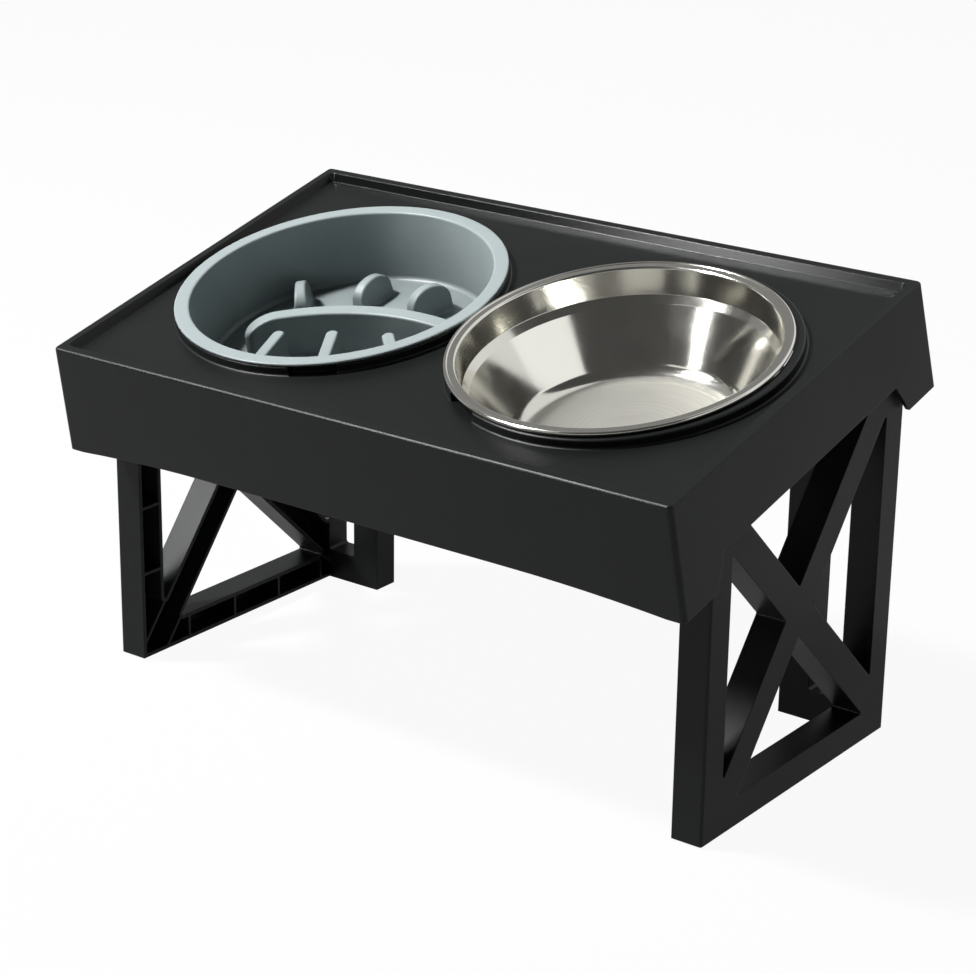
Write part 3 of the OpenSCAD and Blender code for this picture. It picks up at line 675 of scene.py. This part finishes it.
def add_panel(name, mesh, place, shade):
    """An evenly bright or dark surface out of view, which only shiny surfaces show."""
    panel = bpy.data.objects.new(name, mesh)
    s = Shader(name)
    s.end_with(s.add("ShaderNodeEmission", Color=(1, 1, 1, 1), Strength=shade).outputs[0])
    mesh.materials.append(s.material)
    panel.matrix_world = place
    for ray in ("camera", "diffuse", "shadow", "transmission", "volume_scatter"):
        setattr(panel, "visible_" + ray, False)
    bpy.context.scene.collection.objects.link(panel)


def add_card(name, azimuth, elevation, distance, width, height, shade):
    """A flat panel that faces the stand."""
    x = width / 2
    y = height / 2
    mesh = bpy.data.meshes.new(name)
    mesh.from_pydata([(-x, -y, 0), (x, -y, 0), (x, y, 0), (-x, y, 0)], [], [(0, 1, 2, 3)])
    add_panel(name, mesh, aimed(azimuth, elevation, distance), shade)


def add_canopy(name, azimuths, elevations, distance, shade):
    """A dim dome over part of the sky."""
    columns = 24
    rows = 8
    points = []
    for i in range(columns + 1):
        az = azimuths[0] + (azimuths[1] - azimuths[0]) * i / columns
        for j in range(rows + 1):
            el = elevations[0] + (elevations[1] - elevations[0]) * j / rows
            points.append(aimed(az, el, distance).translation)
    step = rows + 1
    faces = [(i * step + j, (i + 1) * step + j, (i + 1) * step + j + 1, i * step + j + 1)
             for i in range(columns) for j in range(rows)]
    mesh = bpy.data.meshes.new(name)
    mesh.from_pydata(points, [], faces)
    add_panel(name, mesh, Matrix(), shade)


def set_camera():
    """The photograph's camera."""
    data = bpy.data.cameras.new("camera")
    data.sensor_width = SENSOR
    data.sensor_fit = "HORIZONTAL"
    data.lens = FOCAL_PIXELS * SENSOR / IMAGE_WIDTH
    data.clip_end = FAR_ENOUGH
    forward = Vector((math.sin(CAMERA_YAW) * math.cos(CAMERA_PITCH),
                      math.cos(CAMERA_YAW) * math.cos(CAMERA_PITCH), math.sin(CAMERA_PITCH)))
    level = Vector((math.cos(CAMERA_YAW), -math.sin(CAMERA_YAW), 0))
    upright = level.cross(forward)
    across = level * math.cos(CAMERA_ROLL) + upright * math.sin(CAMERA_ROLL)
    up = upright * math.cos(CAMERA_ROLL) - level * math.sin(CAMERA_ROLL)
    turn = Matrix((across, up, -forward)).transposed().to_4x4()
    camera = bpy.data.objects.new("camera", data)
    camera.matrix_world = Matrix.Translation(CAMERA_PLACE) @ turn
    bpy.context.scene.collection.objects.link(camera)
    bpy.context.scene.camera = camera


# Bowls
place, radius = bowl_place("steel_bowl")
steel = add_mesh("polished_steel_bowl", *spun(steel_profile(radius), STEEL_SEGMENTS), place)
steel.data.materials.append(bowl_steel())
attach(steel, "steel_bowl_body")
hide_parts("steel_bowl")

place, radius = bowl_place("slow_feeder_bowl")
shape = FeederShape(radius)
margin = 2 * FEEDER_STEP
low = (-radius - margin, -radius - margin, -FEEDER_DEPTH - FEEDER_WALL - margin)
high = (radius + margin, radius + margin, margin)
points, quads = surface_net(shape, low, high, FEEDER_STEP)
points, directions = settle(shape, points, FEEDER_STEP)
feeder = add_mesh("ridged_feeder_bowl", points, quads.tolist(), place, directions)
feeder.data.materials.append(feeder_plastic())
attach(feeder, "feeder_bowl_body")
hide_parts("slow_feeder_bowl")

# Materials of the CAD pieces
finishes = {
    "tray": satin_plastic("tray_plastic", dark=(0.0074, 0.0084, 0.0086), pale=(0.0104, 0.0118, 0.0120),
                          rough=0.36, shine=0.22, edge=0.0009),
    "leg": satin_plastic("leg_plastic", dark=(0.0104, 0.0113, 0.0118), pale=(0.0153, 0.0163, 0.0170),
                         rough=0.36, shine=0.17, edge=0.0008),
    "pad": foot_rubber(),
}
for name, node in nodes.items():
    for word, finish in finishes.items():
        if name.endswith(word):
            node.data.materials.clear()
            node.data.materials.append(finish)

# Studio
set_world()
set_floor()
add_lamp("key", azimuth=-122, elevation=53, distance=3.0, width=0.36, height=0.36, level=270)
add_card("right_softbox", azimuth=88, elevation=25, distance=2.2, width=1.8, height=0.9, shade=1.3)
add_card("edge_light", azimuth=-135, elevation=37, distance=2.6, width=0.7, height=0.8, shade=40.0)
add_card("front_strip", azimuth=-152, elevation=24, distance=2.8, width=1.9, height=0.28, shade=1.4)
add_card("recess_light", azimuth=-150, elevation=14, distance=2.2, width=0.24, height=0.5, shade=20.0)
add_canopy("dark_room", azimuths=(66, 250), elevations=(2, 90), distance=4.0, shade=0.08)
add_canopy("dim_room", azimuths=(250, 338), elevations=(7, 90), distance=4.0, shade=0.3)
set_camera()
bpy.context.scene.view_settings.view_transform = "Standard"
